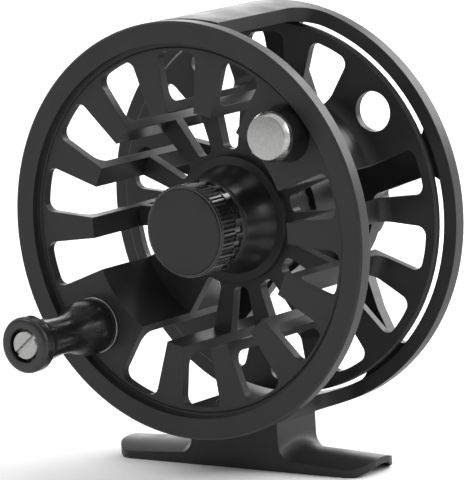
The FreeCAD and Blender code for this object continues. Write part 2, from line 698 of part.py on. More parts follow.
def drive_hub():
    body = turned_body("drive_hub", [
        ("race_seat", "nose_front"),
        ("nose_r", "nose_front"),
        ("nose_r", "drive_step"),
        ("drive_r", "drive_step"),
        ("drive_r", "drive_flange_front"),
        ("drive_flange_r", "drive_flange_front"),
        ("drive_flange_r", "drive_flange_back"),
        ("seal_drive_r", "drive_flange_back"),
        ("seal_drive_r", "cover_back"),
        ("drive_r", "cover_back"),
        ("drive_r", "drive_back"),
        ("clutch_seat", "drive_back"),
        ("clutch_seat", "clutch_front"),
        ("bearing_shoulder_r", "clutch_front"),
        ("bearing_shoulder_r", "rear_race_back"),
        ("race_seat", "rear_race_back"),
        ("race_seat", "rear_race_front"),
        ("through_r", "rear_race_front"),
        ("through_r", "front_race_back"),
        ("race_seat", "front_race_back"),
    ])
    dowel = new_sketch(body, "pin_outline", "XZ_Plane", "0 - drive_flange_front")
    disc(dowel, "drive_pin_r", "drive_pin_ring_r")
    pattern(body, "pin_holes", pocket(body, "pin_hole", dowel, "front_cove_end"), PIN_COUNT)
    finish(body, "drive_hub", "land_angle")


def drive_pins():
    places = around(size("drive_pin_ring_r"), PIN_COUNT)
    pins = rods("drive_pin", "drive_pin_r", "drive_pin_front", "drive_flange_back", places)
    finish(joined("Part::Compound", "drive_pin_set", pins), "drive_pins", "land_angle")


def bearings():
    """Two ball bearings: outer races in the drive hub, inner races on the spindle."""
    seats = (("front_race_front", "front_race_back"), ("rear_race_front", "rear_race_back"))
    outers = []
    inners = []
    balls = []
    for row, (front, back) in enumerate(seats):
        outers.append(turned_body("outer_race_%d" % row, tube("race_out_in", "race_seat", front, back)))
        inners.append(turned_body("inner_race_%d" % row, tube("race_bore", "race_in_out", front, back)))
        middle = (size(front) + size(back)) / 2
        for index, place in enumerate(around(size("ball_ring_r"), BALL_COUNT)):
            ball = doc.addObject("Part::Sphere", "ball_%d_%d" % (row, index))
            ball.setExpression("Radius", "Dims.ball_r")
            ball.Placement.Base = FreeCAD.Vector(place[0], middle, place[1])
            balls.append(ball)
    finish(joined("Part::Compound", "outer_race_set", outers), "bearing_outer_races")
    finish(joined("Part::Compound", "inner_race_set", inners), "bearing_inner_races")
    finish(joined("Part::Compound", "ball_set", balls), "bearing_balls")


def one_way_clutch():
    turned("clutch_shell", tube("clutch_bore", "clutch_seat", "clutch_front", "clutch_back"))
    places = around(size("roller_ring_r"), ROLLER_COUNT)
    rollers = rods("roller", "roller_r", "roller_front", "roller_back", places)
    finish(joined("Part::Compound", "roller_set", rollers), "clutch_rollers")


def click_ring():
    """Ring with radial notches on its rear face, one for each click."""
    body = turned_body("click_ring", tube("click_in", "click_out", "click_front", "click_back"))
    notch = new_sketch(body, "notch_outline", "YZ_Plane")
    outline(notch, [
        ("click_bottom", "0"),
        ("house_front", "notch_half"),
        ("house_front", "0 - notch_half"),
    ])
    pattern(body, "notches", pocket(body, "notch", notch, "house_r", True), CLICK_TEETH)
    finish(body, "click_ring", "land_angle")


def counterweight():
    turned("counterweight_boss", [
        ("weight_shank_r", "weight_boss_front"),
        ("weight_boss_top_r", "weight_boss_front", "weight_boss_mid_r", "weight_boss_mid_y"),
        ("weight_boss_r", "recess_y"),
        ("weight_shank_r", "recess_y"),
    ], "land_angle", "crank_r")
    turned("counterweight", [
        ("0", "weight_front"),
        ("weight_face_r", "weight_front"),
        ("weight_r", "weight_bevel_y"),
        ("weight_r", "weight_boss_front"),
        ("weight_shank_r", "weight_boss_front"),
        ("weight_shank_r", "flange_back"),
        ("0", "flange_back"),
    ], "land_angle", "crank_r")


# Handle

def handle():
    """Post, base ring and screw, which stay with the spool, and the grip and bush that turn on them."""
    turned("handle_post", [
        ("screw_shank_r", "post_front"),
        ("post_r", "post_front"),
        ("post_r", "washer_front"),
        ("post_thread_r", "washer_front"),
        ("post_thread_r", "flange_back"),
        ("0", "flange_back"),
        ("0", "screw_tip"),
        ("screw_shank_r", "screw_tip"),
    ], "land_angle", "0 - crank_r")
    turned("handle_base_ring", tube("post_thread_r", "washer_r", "washer_front", "recess_y"),
           "land_angle", "0 - crank_r")
    screw = turned_body("handle_screw", [
        ("0", "screw_head_front"),
        ("screw_head_r - rim_chamfer", "screw_head_front"),
        ("screw_head_r", "screw_head_front + rim_chamfer"),
        ("screw_head_r", "post_front"),
        ("screw_shank_r", "post_front"),
        ("screw_shank_r", "screw_tip"),
        ("0", "screw_tip"),
    ])
    slot = new_sketch(screw, "screw_slot_outline", "XZ_Plane", "0 - grip_end")
    outline(slot, [
        ("0 - washer_r", "0 - screw_slot"),
        ("washer_r", "0 - screw_slot"),
        ("washer_r", "screw_slot"),
        ("0 - washer_r", "screw_slot"),
    ])
    pocket(screw, "slot", slot, "screw_slot_y - grip_end")
    finish(screw, "handle_screw", "land_angle", "0 - crank_r")
    turned("handle_bush", tube("bush_bore", "bush_r", "grip_recess_y", "grip_base"),
           "land_angle", "0 - crank_r")
    turned("handle_grip", [
        ("bush_r", "grip_base"),
        ("grip_base_r", "grip_base", "grip_swell_r", "grip_swell_y"),
        ("grip_taper_r", "grip_taper_y", "grip_waist_r", "grip_waist_y"),
        ("grip_flare_r", "grip_flare_y", "grip_lip_r", "grip_lip_y"),
        ("grip_end_r", "grip_band_y"),
        ("grip_end_r", "grip_end_corner", "grip_corner_r", "grip_corner_y"),
        ("grip_face_r", "grip_end"),
        ("grip_recess_r", "grip_end"),
        ("grip_recess_r", "grip_recess_y"),
        ("bush_r", "grip_recess_y"),
    ], "land_angle", "0 - crank_r")


# Spool cap

def cap():
    body = turned_body("spool_cap", [
        ("0", "cap_seat_y"),
        ("cap_seat_r", "cap_seat_y"),
        ("cap_seat_r", "cap_lip_y"),
        ("cap_r - rim_chamfer", "cap_lip_y"),
        ("cap_r", "cap_lip_y + rim_chamfer"),
        ("cap_r", "cap_knurl_back"),
        ("cap_neck_r", "cap_knurl_back"),
        ("cap_neck_r", "cap_castle_front"),
        ("cap_r", "cap_castle_front"),
        ("cap_r", "cap_back"),
        ("cap_bore", "cap_back"),
        ("cap_bore", "cap_bore_front"),
        ("0", "cap_bore_front"),
    ])
    flute = new_sketch(body, "flute_outline", "XZ_Plane", "0 - cap_flute_front")
    outline(flute, [
        ("cap_flute_r", "0"),
        ("washer_clear_r", "cap_flute_half"),
        ("washer_clear_r", "0 - cap_flute_half"),
    ])
    pattern(body, "flutes", pocket(body, "flute", flute, "cap_knurl_back - cap_flute_front"), KNURL_COUNT)
    notch = new_sketch(body, "castle_outline", "XZ_Plane", "0 - cap_castle_front")
    outline(notch, [
        ("cap_neck_r", "0 - cap_notch_half"),
        ("washer_clear_r", "0 - cap_notch_half"),
        ("washer_clear_r", "cap_notch_half"),
        ("cap_neck_r", "cap_notch_half"),
    ])
    pattern(body, "castle", pocket(body, "castle_notch", notch, "front_cove_end"), CASTLE_COUNT)
    finish(body, "spool_cap")
    turned("cap_plate", [
        ("0", "cap_front"),
        ("cap_plate_r - cap_plate_edge", "cap_front"),
        ("cap_plate_r", "cap_front + cap_plate_edge"),
        ("cap_plate_r", "cap_plate_back"),
        ("0", "cap_plate_back"),
    ])
    turned("cap_washer", tube("cap_washer_bore", "cap_washer_r", "cap_washer_front", "cap_washer_back"))


# Frame, spindle and foot

def arm_opening():
    """Opening between two arms: arcs at both ends, and a fillet in each corner."""
    half_pitch = math.radians(size("arm_pitch")) / 2
    half = size("arm_half")

    def corner(rim, fillet, inside):
        """Points of a corner: on the rim, halfway round the fillet, on the arm's edge."""
        reach = rim + fillet if inside else rim - fillet
        lean = math.asin((half + fillet) / reach)
        bearing = half_pitch - lean
        centre = FreeCAD.Vector(reach * math.cos(bearing), reach * math.sin(bearing), 0)
        outward = centre * ((-fillet if inside else fillet) / reach)
        sideways = FreeCAD.Vector(-math.sin(half_pitch), math.cos(half_pitch), 0) * fillet
        bisector = outward + sideways
        bisector.normalize()
        return centre + outward, centre + bisector * fillet, centre + sideways

    rim_out = size("ring_bore")
    rim_in = size("arm_hole_in")
    on_rim, mid_rim, arm_far = corner(rim_out, size("arm_fillet"), False)
    on_hub, mid_hub, arm_near = corner(rim_in, size("arm_toe"), True)
    return [
        (on_rim.x, -on_rim.y, rim_out, 0.0),
        (on_rim.x, on_rim.y, mid_rim.x, mid_rim.y),
        (arm_far.x, arm_far.y),
        (arm_near.x, arm_near.y, mid_hub.x, mid_hub.y),
        (on_hub.x, on_hub.y, rim_in, 0.0),
        (on_hub.x, -on_hub.y, mid_hub.x, -mid_hub.y),
        (arm_near.x, -arm_near.y),
        (arm_far.x, -arm_far.y, mid_rim.x, -mid_rim.y),
    ]


def frame():
    body = turned_body("frame_body", [
        ("ring_bore", "ring_front"),
        ("rim_r", "ring_front"),
        ("rim_r", "ring_back - rim_chamfer"),
        ("rim_r - rim_chamfer", "ring_back"),
        ("ring_bore", "ring_back"),
        ("arm_out_r", "arm_bend_back"),
        ("arm_mid_r", "arm_mid_back"),
        ("arm_in_r", "arm_in_back"),
        ("frame_hub_r", "frame_hub_edge"),
        ("frame_hub_face_r", "frame_hub_back"),
        ("rear_boss_r", "frame_hub_back"),
        ("rear_boss_r", "rear_boss_back"),
        ("nut_pocket_r", "rear_boss_back"),
        ("nut_pocket_r", "nut_front"),
        ("frame_bore", "nut_front"),
        ("frame_bore", "house_back"),
        ("frame_seat_r", "house_back"),
        ("frame_seat_r", "arm_hub_y"),
        ("frame_hub_r", "arm_hub_y"),
        ("arm_in_r", "arm_in_y"),
        ("arm_mid_r", "arm_mid_y"),
        ("arm_out_r", "arm_bend_y"),
        ("ring_bore", "arm_out_y"),
    ])
    pitch = size("arm_pitch")
    sketch = new_sketch(body, "opening_outline", "XZ_Plane", "0", 90 + pitch / 2)
    outline(sketch, arm_opening())
    pattern(body, "openings", pocket(body, "opening", sketch, "rear_boss_back"), ARM_COUNT)
    for name, side, angle in (("top", "", "top_bridge_angle"), ("bottom", "0 - ", "foot_bridge_angle")):
        sector(body, name + "_bridge", [
            ("bridge_front", side + "ring_bore"),
            ("bridge_front", side + "rim_r"),
            ("bridge_seat", side + "rim_r"),
            ("bridge_seat", side + "ring_bore"),
        ], angle)
    round_edges(body, "bridge_roots", "bridge_fillet", radial_on("ring_front", "ring_bore"))
    tools = rods("pin_hole", "pin_hole_r", "house_back", "nut_front",
                 around(size("pin_ring_r"), PIN_COUNT, PIN_START))
    tools += rods("screw_hole", "house_screw_r", "house_back", "nut_front",
                  around(size("house_screw_ring_r"), PIN_COUNT, SCREW_START))
    tools += rods("screw_head_hole", "house_head_r", "house_head_front", "nut_front",
                  around(size("house_screw_ring_r"), PIN_COUNT, SCREW_START))
    for side in (-1, 1):
        across = side * size("foot_screw_gap")
        tools.append(stud("foot_hole_%d" % (side + 1), "foot_screw_r", "seat_z", "tool_top", across))
        tools.append(stud("foot_head_hole_%d" % (side + 1), "foot_screw_head_r", "foot_screw_seat",
                          "tool_top", across))
    finish(cut("frame_cut", body, tools), "frame")


def spindle():
    turned("spindle", [
        ("0", "spindle_front"),
        ("spindle_r", "spindle_front"),
        ("spindle_r", "spindle_step"),
        ("spindle_collar_r", "spindle_step"),
        ("spindle_collar_r", "house_inner_back"),
        ("spindle_root_r", "house_inner_back"),
        ("spindle_root_r", "nut_front"),
        ("spindle_r", "nut_front"),
        ("spindle_r", "spindle_back"),
        ("0", "spindle_back"),
    ])
    nut = doc.addObject("Part::Prism", "nut_blank")
    nut.Polygon = 6
    nut.setExpression("Circumradius", "Dims.nut_r")
    nut.setExpression("Height", "Dims.nut_back - Dims.nut_front")
    start = FreeCAD.Vector(0, size("nut_front"), 0)
    nut.Placement = FreeCAD.Placement(start, FreeCAD.Rotation(FreeCAD.Vector(1, 0, 0), -90))
    hole = rod("nut_hole", "spindle_r", "nut_front", "spindle_back")
    finish(cut("nut_cut", nut, [hole]), "spindle_nut")


def foot_section(body, name, across, skirt, apex):
    """Section of the foot at a distance from its middle: arched on top, hollow underneath."""
    sketch = new_sketch(body, name, "YZ_Plane", across)
    low = "foot_mid_y - foot_half_width"
    high = "foot_mid_y + foot_half_width"
    return outline(sketch, [
        (low, skirt, "foot_mid_y", apex),
        (high, skirt),
        (high, "seat_z"),
        ("foot_mid_y + saddle_half", "seat_z", "foot_mid_y", "saddle_apex_z"),
        ("foot_mid_y - saddle_half", "seat_z"),
        (low, "seat_z"),
    ])


def round_tips(body):
    """Round the foot's tips seen from above, with the cutter's outline just clear of the foot's sides."""
    corner = size("tip_corner")
    reach = size("foot_half_length + tip_margin")
    half = size("foot_half_width + tip_margin")
    middle = size("foot_mid_y")
    bevel = corner * (1 - math.sqrt(0.5))
    trim = new_sketch(body, "tip_outline", "XY_Plane", "root_apex_z")
    corners = []
    for side in (1, -1):
        corners += [
            (side * (reach - corner), middle - side * half,
             side * (reach - bevel), middle - side * (half - bevel)),
            (side * reach, middle - side * (half - corner)),
            (side * reach, middle + side * (half - corner),
             side * (reach - bevel), middle + side * (half - bevel)),
            (side * (reach - corner), middle + side * half),
        ]
    outline(trim, corners)
    outline(trim, [
        ("0 - trim_reach", "0"),
        ("trim_reach", "0"),
        ("trim_reach", "foot_mid_y + foot_mid_y"),
        ("0 - trim_reach", "foot_mid_y + foot_mid_y"),
    ])
    pocket(body, "tips", trim, "root_apex_z - seat_z")


def post_root(edge):
    """Whether an edge is where the post's side stands on a wing."""
    ends = [vertex.Point for vertex in edge.Vertexes]
    side = all(abs(abs(end.x) - size("foot_root_x")) < TOLERANCE for end in ends)
    low = all(end.z < size("root_apex_z") + TOLERANCE for end in ends)
    return side and low and ends[0].distanceToPoint(ends[-1]) > size("foot_half_width")


def foot_wing(body, side):
    """Half of the foot, from its middle out to one tip."""
    sign = "" if side > 0 else "0 - "
    name = "right" if side > 0 else "left"
    root = foot_section(body, name + "_root", "0", "root_skirt_z", "root_apex_z")
    tip = foot_section(body, name + "_tip", sign + "foot_half_length", "tip_skirt_z", "tip_apex_z")
    wing = body.newObject("PartDesign::AdditiveLoft", name + "_wing")
    wing.Profile = root
    wing.Sections = [tip]
    doc.recompute()


def reel_foot():
    body = new_body("foot_body")
    foot_wing(body, 1)
    foot_wing(body, -1)
    round_tips(body)
    block = new_sketch(body, "post_outline", "XZ_Plane", "foot_half_width - foot_mid_y")
    outline(block, [
        ("0 - foot_root_x", "post_low_z"),
        ("foot_root_x", "post_low_z"),
        ("foot_root_x", "post_top_z"),
        ("0 - foot_root_x", "post_top_z"),
    ])
    pad(body, "post", block, "foot_half_width + foot_half_width")
    seat = disc(new_sketch(body, "frame_seat_outline", "XZ_Plane"), "rim_r")
    pocket(body, "frame_seat", seat, "ring_back")
    round_edges(body, "scoops", "scoop_r", post_root)
    holes = [stud("post_hole_%d" % (side + 1), "foot_screw_r", "foot_screw_low", "tool_top",
                  side * size("foot_screw_gap")) for side in (-1, 1)]
    finish(cut("foot_cut", body, holes), "reel_foot")


def foot_screws():
    screws = []
    for side in (-1, 1):
        across = side * size("foot_screw_gap")
        shank = stud("foot_shank_%d" % (side + 1), "foot_screw_r", "foot_screw_low", "foot_screw_seat", across)
        head = stud("foot_head_%d" % (side + 1), "foot_screw_head_r", "foot_screw_seat", "foot_screw_top",
                    across)
        screws.append(joined("Part::MultiFuse", "foot_screw_%d" % (side + 1), [shank, head]))
    finish(joined("Part::Compound", "foot_screw_set", screws), "foot_screws")


# Drag

def drag_housing():
    body = turned_body("housing_body", [
        ("house_bore", "house_front"),
        ("house_r", "house_front"),
        ("house_r", "house_back"),
        ("frame_bore", "house_back"),
        ("frame_bore", "house_inner_back"),
        ("house_bore", "house_inner_back"),
        ("house_bore", "shelf_back"),
        ("shelf_bore", "shelf_back"),
        ("shelf_bore", "shelf_front"),
        ("house_bore", "shelf_front"),
    ])
    tools = rods("house_pin_hole", "pin_hole_r", "plate_front", "nut_front",
                 around(size("pin_ring_r"), PIN_COUNT, PIN_START))
    tools += rods("house_screw_hole", "house_screw_r", "house_screw_front", "nut_front",
                  around(size("house_screw_ring_r"), PIN_COUNT, SCREW_START))
    tools += rods("plunger_hole", "plunger_bore", "click_front", "plunger_bore_back", plunger_place())
    finish(cut("housing_cut", body, tools), "drag_housing")


def housing_screws():
    places = around(size("house_screw_ring_r"), PIN_COUNT, SCREW_START)
    shanks = rods("house_shank", "house_screw_r", "house_screw_front", "frame_hub_back", places)
    heads = rods("house_head", "house_head_r", "house_head_front", "frame_hub_back", places)
    screws = [joined("Part::MultiFuse", "house_screw_%d" % index, list(pair))
              for index, pair in enumerate(zip(shanks, heads))]
    finish(joined("Part::Compound", "house_screw_set", screws), "housing_screws")


def plunger_place():
    """Place of the click plunger: over a notch of the click ring at rest."""
    return around(size("plunger_ring_r"), 1, size("land_angle") + PLUNGER_NOTCH * 360.0 / CLICK_TEETH)


def click_plunger():
    across, up = plunger_place()[0]
    body = turned_body("plunger_body", [
        ("0", "plunger_tip"),
        ("plunger_tip_r", "plunger_tip"),
        ("plunger_r", "plunger_cone_back"),
        ("plunger_r", "plunger_back"),
        ("0", "plunger_back"),
    ])
    body.Placement.Base = FreeCAD.Vector(across, 0, up)
    finish(joined("Part::Compound", "plunger_set", [body]), "click_plunger")
    coil = doc.addObject("Part::Helix", "spring_path")
    coil.setExpression("Pitch", "Dims.click_spring_pitch")
    coil.setExpression("Height", "Dims.plunger_bore_back - Dims.click_spring_front - 2 * Dims.click_wire_r")
    coil.setExpression("Radius", "Dims.click_spring_r")
    wire = doc.addObject("Part::Circle", "spring_section")
    wire.setExpression("Radius", "Dims.click_wire_r")
    wire.Placement = FreeCAD.Placement(FreeCAD.Vector(size("click_spring_r"), 0, 0),
                                       FreeCAD.Rotation(FreeCAD.Vector(1, 0, 0), 90))
    spring = doc.addObject("Part::Sweep", "spring_coil")
    spring.Sections = [wire]
    spring.Spine = (coil, ["Edge1"])
    spring.Solid = True
    spring.Frenet = True
    base = FreeCAD.Vector(across, size("click_spring_front + click_wire_r"), up)
    spring.Placement = FreeCAD.Placement(base, FreeCAD.Rotation(FreeCAD.Vector(1, 0, 0), -90))
    finish(joined("Part::Compound", "spring_set", [spring]), "click_spring")


def drag_stack():
    """What lies in the housing, from the front: cover, seal, rotor, discs, springs, pressure plate."""
    turned("housing_cover", tube("cover_bore", "house_bore", "cover_front", "cover_back"))
    turned("housing_seal", tube("seal_bore", "cover_bore", "cover_front", "cover_back"))
    turned("drag_rotor", [
        ("rotor_bore", "rotor_front"),
        ("rotor_r", "rotor_front"),
        ("rotor_r", "rotor_disc_front"),
        ("rotor_disc_r", "rotor_disc_front"),
        ("rotor_disc_r", "rotor_disc_back"),
        ("rotor_r", "rotor_disc_back"),
        ("rotor_r", "rotor_back"),
        ("rotor_bore", "rotor_back"),
    ])
    discs = [turned_body("disc_" + front, tube("disc_bore", "disc_r", front, front + " + disc_thick"))
             for front in ("disc_front", "disc_back")]
    finish(joined("Part::Compound", "disc_set", discs), "drag_discs")
    middle = "spring_front + spring_rise + spring_thick"
    near = turned_body("near_spring", [
        ("spring_in", "spring_front + spring_rise"),
        ("spring_out", "spring_front"),
        ("spring_out", "spring_front + spring_thick"),
        ("spring_in", middle),
    ])
    far = turned_body("far_spring", [
        ("spring_in", middle),
        ("spring_out", middle + " + spring_rise"),
        ("spring_out", middle + " + spring_rise + spring_thick"),
        ("spring_in", middle + " + spring_thick"),
    ])
    finish(joined("Part::Compound", "disc_spring_set", [near, far]), "disc_springs")
    turned("pressure_plate", tube("plate_bore", "plate_r", "plate_front", "plate_back"))
    pins = rods("thrust_pin", "pin_r", "plate_back", "pin_back",
                around(size("pin_ring_r"), PIN_COUNT, PIN_START))
    finish(joined("Part::Compound", "thrust_pin_set", pins), "thrust_pins")


def drag_knob():
    body = turned_body("knob_body", [
        ("knob_bore", "knob_front"),
        ("knob_back_r", "knob_front"),
        ("knob_r", "knob_band"),
        ("knob_r", "knob_top", "knob_corner_r", "knob_corner_y"),
        ("knob_back_r", "knob_back"),
        ("knob_recess_r", "knob_back"),
        ("knob_recess_r", "knob_recess_y"),
        ("knob_bore", "knob_recess_y"),
    ])
    flute = disc(new_sketch(body, "knob_flute_outline", "XZ_Plane"), "knob_flute_r", "knob_flute_ring_r")
    pattern(body, "knob_flutes", pocket(body, "knob_flute", flute, "knob_back"), FLUTE_COUNT)
    finish(body, "drag_knob")
    turned("drag_knob_cover", [
        ("0", "cover_disc_front"),
        ("cover_disc_r", "cover_disc_front"),
        ("cover_disc_r", "knob_back", "cover_disc_mid_r", "cover_disc_mid_y"),
        ("cover_disc_flat_r", "cover_disc_back"),
        ("0", "cover_disc_back"),
    ])


def export():
    """Check every object of the document and write one file for each sub-part."""
    doc.recompute()
    for item in doc.Objects:
        if "Invalid" in item.State or "Error" in item.State:
            raise RuntimeError("%s failed: %s" % (item.Name, item.State))
    for item in subparts:
        if item.Shape.isNull() or not item.Shape.isValid():
            raise RuntimeError(item.Label + " has no valid shape")
    os.makedirs("parts", exist_ok=True)
    for item in subparts:
        item.Shape.exportStep("parts/%s.step" % item.Label)
        print("%-24s %3d solids %9.1f mm3" % (item.Label, len(item.Shape.Solids), item.Shape.Volume))


for build in (spool, hub_boss, drive_hub, drive_pins, bearings, one_way_clutch, click_ring, counterweight,
              handle, cap, frame, spindle, reel_foot, foot_screws, drag_housing, housing_screws,
              click_plunger, drag_stack, drag_knob, export):
    build()
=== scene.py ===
"""Looks of the fly reel: smooth turned pieces, finishes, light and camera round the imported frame."""

import json
import math

import bpy
import bmesh
from mathutils import Matrix, Vector


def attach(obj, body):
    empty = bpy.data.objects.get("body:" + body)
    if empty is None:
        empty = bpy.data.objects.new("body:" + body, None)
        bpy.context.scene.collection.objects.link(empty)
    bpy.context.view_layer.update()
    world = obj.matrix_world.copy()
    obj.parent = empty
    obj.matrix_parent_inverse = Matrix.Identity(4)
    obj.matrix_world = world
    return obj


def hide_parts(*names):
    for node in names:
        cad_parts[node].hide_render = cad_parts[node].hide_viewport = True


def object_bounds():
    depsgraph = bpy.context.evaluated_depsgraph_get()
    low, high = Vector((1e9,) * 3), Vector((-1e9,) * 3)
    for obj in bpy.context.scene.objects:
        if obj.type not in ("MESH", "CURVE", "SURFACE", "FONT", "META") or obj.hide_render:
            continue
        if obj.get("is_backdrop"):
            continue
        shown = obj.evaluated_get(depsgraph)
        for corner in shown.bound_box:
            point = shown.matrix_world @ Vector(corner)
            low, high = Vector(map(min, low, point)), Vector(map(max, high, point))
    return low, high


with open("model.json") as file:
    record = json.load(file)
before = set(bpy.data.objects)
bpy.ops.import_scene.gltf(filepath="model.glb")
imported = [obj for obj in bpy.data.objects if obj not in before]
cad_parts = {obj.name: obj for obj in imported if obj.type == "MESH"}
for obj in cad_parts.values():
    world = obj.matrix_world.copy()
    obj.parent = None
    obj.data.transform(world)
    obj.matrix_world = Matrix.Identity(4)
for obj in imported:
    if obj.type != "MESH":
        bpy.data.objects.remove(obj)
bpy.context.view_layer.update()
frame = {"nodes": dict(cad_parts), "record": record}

MM = 0.001
# the front rim's middle in the row frame, in mm
RIM_Y, AXIS_Z = -20.25, 51.0
# the counterweight's place, opposite the handle's: angle above the right-hand side, radius in mm
LAND_ANGLE = math.radians(39.8)
CRANK_R = 32.2
# steps round a turned piece: the small ones, the grip, the wide ones and the cap
SMALL_STEPS, GRIP_STEPS, WIDE_STEPS, CAP_STEPS = 128, 160, 192, 960
# the cap, in mm
CAP_R, CAP_NECK_R, CAP_PLATE_R, CAP_BORE_R = 9.45, 8.9, 8.7, 6.06
CAP_FLUTES, CAP_FLUTE_DEPTH = 64, 0.33
CAP_BLOCKS, CAP_GAP_SHARE, CAP_RAMP_SHARE = 20, 0.22, 0.03
# rounding of an edge in mm, the largest share of a side it takes, and the turn too small to round
EDGE_R, EDGE_SHARE, FLAT_TURN = 0.12, 0.45, math.radians(12)
# pitch of the rings that a lathe leaves on bare metal, in metres
TOOL_PITCH = 0.00028
# brightness of the world before and behind the reel, and where along Y it changes
ROOM_LEVEL, BACKDROP_LEVEL = 0.46, 1.5
FADE_START, FADE_END = -0.8, 0.6
# lamps: name, place in metres from the middle of the reel, width, height, power in watts
LAMPS = (
    ("above", (0.30, 0.76, 0.46), 0.8, 0.5, 8.0),
    ("behind", (-0.52, 0.73, 0.20), 0.6, 0.25, 1.0),
    ("right", (0.80, 0.25, 0.45), 0.3, 0.4, 3.0),
    ("left", (-0.45, -0.60, 0.55), 0.2, 0.4, 1.2),
)
# the camera: its direction from the rim's middle, its roll, distance and aim beside that point in mm
VIEW_AZIMUTH, VIEW_HEIGHT, VIEW_ROLL = math.radians(35.52), math.radians(9.03), math.radians(-3.11)
VIEW_FAR, AIM_ACROSS, AIM_UP = 901.0, -9.6908, 1.5818
LENS, SENSOR = 337.5, 36.0
# half the floor's width, in metres
FLOOR_REACH = 1.6


# ---------------------------------------------------------------- meshes

def spot(x, y, z):
    """A point given in mm from the middle of the spool's front rim, in the row frame."""
    return Vector((x, y + RIM_Y, z + AXIS_Z)) * MM


def crank_spot(side):
    """Place (x, z) on the land of the counterweight (side 1) or of the handle (side -1)."""
    return side * CRANK_R * math.cos(LAND_ANGLE), side * CRANK_R * math.sin(LAND_ANGLE)


HANDLE, WEIGHT = crank_spot(-1), crank_spot(1)


def new_piece(name, mesh_maker, body, finish, replaced):
    """A piece that rides on a body and stands for one CAD node."""
    mesh = bpy.data.meshes.new(name)
    shape = bmesh.new()
    mesh_maker(shape)
    bmesh.ops.remove_doubles(shape, verts=shape.verts, dist=0.00001 * MM)
    bmesh.ops.recalc_face_normals(shape, faces=shape.faces)
    shape.to_mesh(mesh)
    shape.free()
    piece = bpy.data.objects.new(name, mesh)
    bpy.context.scene.collection.objects.link(piece)
    mesh.materials.append(FINISHES[finish])
    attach(piece, body)
    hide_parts(replaced)
    return piece


def smooth(piece, angle):
    """Shades a piece smooth but for its edges sharper than the angle."""
    for polygon in piece.data.polygons:
        polygon.use_smooth = True
    piece.data.set_sharp_from_angle(angle=math.radians(angle))


def rounded(profile, steps=3):
    """Corners of a profile of (radius, place, reach of the rounding) points replaced by small arcs."""
    made = [profile[0]]
    for before, corner, after in zip(profile, profile[1:], profile[2:]):
        corner_at = Vector(corner[:2])
        back = Vector(before[:2]) - corner_at
        on = Vector(after[:2]) - corner_at
        turn = math.pi - back.angle(on) if back.length * on.length > 1e-9 else 0.0
        wanted = corner[2] if len(corner) > 2 else EDGE_R
        reach = min(wanted, back.length * EDGE_SHARE, on.length * EDGE_SHARE)
        if turn < FLAT_TURN or reach < 1e-4:
            made.append(tuple(corner_at))
            continue
        start, end = corner_at + back.normalized() * reach, corner_at + on.normalized() * reach
        for step in range(steps + 1):
            share = step / steps
            point = start.lerp(corner_at, share).lerp(corner_at.lerp(end, share), share)
            made.append(tuple(point))
    made.append(profile[-1][:2])
    return made


def lathe(profile, centre=(0.0, 0.0), steps=SMALL_STEPS):
    """Maker of a shape turned about an axis along Y through centre; the profile is (radius, place) in mm."""
    def make(shape):
        rings = []
        for radius, place in profile:
            if radius < 1e-6:
                rings.append([shape.verts.new(spot(centre[0], place, centre[1]))])
                continue
            ring = []
            for step in range(steps):
                angle = 2 * math.pi * step / steps
                x = centre[0] + radius * math.cos(angle)
                z = centre[1] + radius * math.sin(angle)
                ring.append(shape.verts.new(spot(x, place, z)))
            rings.append(ring)
        for ring, following in zip(rings, rings[1:]):
            bridge(shape, ring, following)
    return make


def bridge(shape, ring, following):
    """Faces between two rings of points, one of which may be a single point."""
    count = max(len(ring), len(following))
    for step in range(count):
        step_on = (step + 1) % count
        corners = [ring[step % len(ring)], ring[step_on % len(ring)],
                   following[step_on % len(following)], following[step % len(following)]]
        unique = list(dict.fromkeys(corners))
        if len(unique) > 2:
            shape.faces.new(unique)


# ---------------------------------------------------------------- finishes

